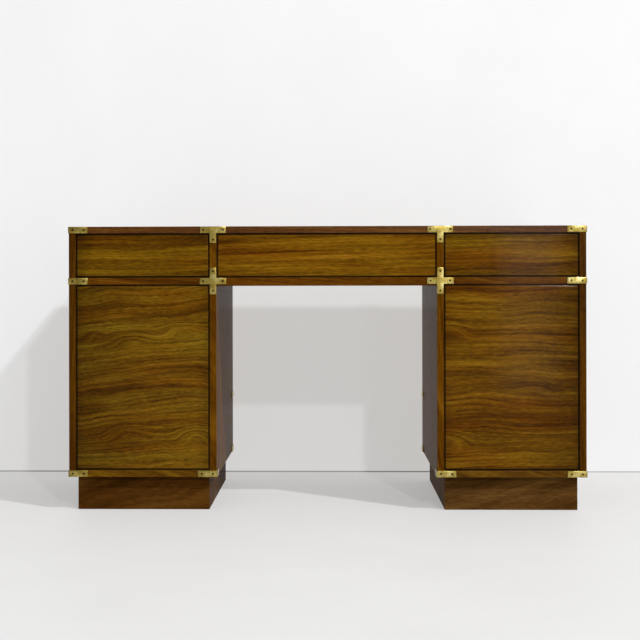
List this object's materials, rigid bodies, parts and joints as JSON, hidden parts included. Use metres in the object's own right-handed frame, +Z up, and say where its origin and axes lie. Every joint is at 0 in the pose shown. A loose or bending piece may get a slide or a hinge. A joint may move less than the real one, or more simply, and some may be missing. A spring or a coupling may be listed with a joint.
{
  "type": "campaign desk",
  "caption": "Kneehole pedestal desk with a finished panelled back, recessed plinths, brass campaign straps, sliding drawers and swinging bail pulls.",
  "frame": {"origin": "on the floor under the middle of the desk", "axes": "+X along the desk, to the right of someone facing the finished back; +Y from the finished back to the drawer side; +Z up"},
  "size_m": [1.376, 0.614, 0.755],
  "materials": {
    "panel_wood": "satin lacquered walnut veneer with figured grain",
    "frame_wood": "satin lacquered walnut",
    "plinth_wood": "dark satin walnut",
    "inner_wood": "clear-finished pale secondary wood",
    "brass": "satin brass, lightly aged"
  },
  "bodies": {
    "case": {"desk_top": "panel_wood", "desk_top_edging": "frame_wood", "left_outer_side": "frame_wood", "left_inner_side": "frame_wood", "right_inner_side": "frame_wood", "right_outer_side": "frame_wood", "left_upper_back_panel": "panel_wood", "centre_back_panel": "panel_wood", "right_upper_back_panel": "panel_wood", "left_lower_back_panel": "panel_wood", "right_lower_back_panel": "panel_wood", "left_mid_rails": "frame_wood", "centre_mid_rails": "frame_wood", "right_mid_rails": "frame_wood", "dust_panels": "inner_wood", "left_drawer_rail": "frame_wood", "right_drawer_rail": "frame_wood", "left_pedestal_bottom": "frame_wood", "right_pedestal_bottom": "frame_wood", "left_plinth": "plinth_wood", "right_plinth": "plinth_wood", "plinth_corner_blocks": "inner_wood", "left_drawer_runners": "inner_wood", "centre_drawer_runners": "inner_wood", "right_drawer_runners": "inner_wood", "top_kickers": "inner_wood", "tee_straps": "brass", "cross_straps": "brass", "corner_straps": "brass"},
    "left_upper_drawer": {"left_upper_drawer_front": "panel_wood", "left_upper_drawer_box": "inner_wood", "left_upper_pull_plate": "brass"},
    "left_upper_bail": {"left_upper_pull_bail": "brass"},
    "centre_drawer": {"centre_drawer_front": "panel_wood", "centre_drawer_box": "inner_wood", "centre_pull_plate": "brass"},
    "centre_left_bail": {"centre_left_pull_bail": "brass"},
    "centre_right_bail": {"centre_right_pull_bail": "brass"},
    "right_upper_drawer": {"right_upper_drawer_front": "panel_wood", "right_upper_drawer_box": "inner_wood", "right_upper_pull_plate": "brass"},
    "right_upper_bail": {"right_upper_pull_bail": "brass"},
    "left_file_drawer": {"left_file_drawer_front": "panel_wood", "left_file_drawer_box": "inner_wood", "left_file_pull_plate": "brass"},
    "left_file_bail": {"left_file_pull_bail": "brass"},
    "right_file_drawer": {"right_file_drawer_front": "panel_wood", "right_file_drawer_box": "inner_wood", "right_file_pull_plate": "brass"},
    "right_file_bail": {"right_file_pull_bail": "brass"},
    "left_low_drawer": {"left_low_drawer_front": "panel_wood", "left_low_drawer_box": "inner_wood", "left_low_pull_plate": "brass"},
    "left_low_bail": {"left_low_pull_bail": "brass"},
    "right_low_drawer": {"right_low_drawer_front": "panel_wood", "right_low_drawer_box": "inner_wood", "right_low_pull_plate": "brass"},
    "right_low_bail": {"right_low_pull_bail": "brass"}
  },
  "joints": [
    {"name": "left_upper_drawer_slide", "type": "slide", "parent": "case", "child": "left_upper_drawer", "axis": [0, 1, 0], "range_m": [0, 0.38]},
    {"name": "left_upper_bail_hinge", "type": "hinge", "parent": "left_upper_drawer", "child": "left_upper_bail", "pos_m": [-0.48925, 0.3001, 0.69025], "axis": [1, 0, 0], "range_deg": [0, 125]},
    {"name": "centre_drawer_slide", "type": "slide", "parent": "case", "child": "centre_drawer", "axis": [0, 1, 0], "range_m": [0, 0.38]},
    {"name": "centre_left_bail_hinge", "type": "hinge", "parent": "centre_drawer", "child": "centre_left_bail", "pos_m": [-0.145, 0.3001, 0.69025], "axis": [1, 0, 0], "range_deg": [0, 125]},
    {"name": "centre_right_bail_hinge", "type": "hinge", "parent": "centre_drawer", "child": "centre_right_bail", "pos_m": [0.145, 0.3001, 0.69025], "axis": [1, 0, 0], "range_deg": [0, 125]},
    {"name": "right_upper_drawer_slide", "type": "slide", "parent": "case", "child": "right_upper_drawer", "axis": [0, 1, 0], "range_m": [0, 0.38]},
    {"name": "right_upper_bail_hinge", "type": "hinge", "parent": "right_upper_drawer", "child": "right_upper_bail", "pos_m": [0.48925, 0.3001, 0.69025], "axis": [1, 0, 0], "range_deg": [0, 125]},
    {"name": "left_file_drawer_slide", "type": "slide", "parent": "case", "child": "left_file_drawer", "axis": [0, 1, 0], "range_m": [0, 0.38]},
    {"name": "left_file_bail_hinge", "type": "hinge", "parent": "left_file_drawer", "child": "left_file_bail", "pos_m": [-0.48925, 0.3001, 0.4495], "axis": [1, 0, 0], "range_deg": [0, 125]},
    {"name": "right_file_drawer_slide", "type": "slide", "parent": "case", "child": "right_file_drawer", "axis": [0, 1, 0], "range_m": [0, 0.38]},
    {"name": "right_file_bail_hinge", "type": "hinge", "parent": "right_file_drawer", "child": "right_file_bail", "pos_m": [0.48925, 0.3001, 0.4495], "axis": [1, 0, 0], "range_deg": [0, 125]},
    {"name": "left_low_drawer_slide", "type": "slide", "parent": "case", "child": "left_low_drawer", "axis": [0, 1, 0], "range_m": [0, 0.38]},
    {"name": "left_low_bail_hinge", "type": "hinge", "parent": "left_low_drawer", "child": "left_low_bail", "pos_m": [-0.48925, 0.3001, 0.1935], "axis": [1, 0, 0], "range_deg": [0, 125]},
    {"name": "right_low_drawer_slide", "type": "slide", "parent": "case", "child": "right_low_drawer", "axis": [0, 1, 0], "range_m": [0, 0.38]},
    {"name": "right_low_bail_hinge", "type": "hinge", "parent": "right_low_drawer", "child": "right_low_bail", "pos_m": [0.48925, 0.3001, 0.1935], "axis": [1, 0, 0], "range_deg": [0, 125]}
  ]
}
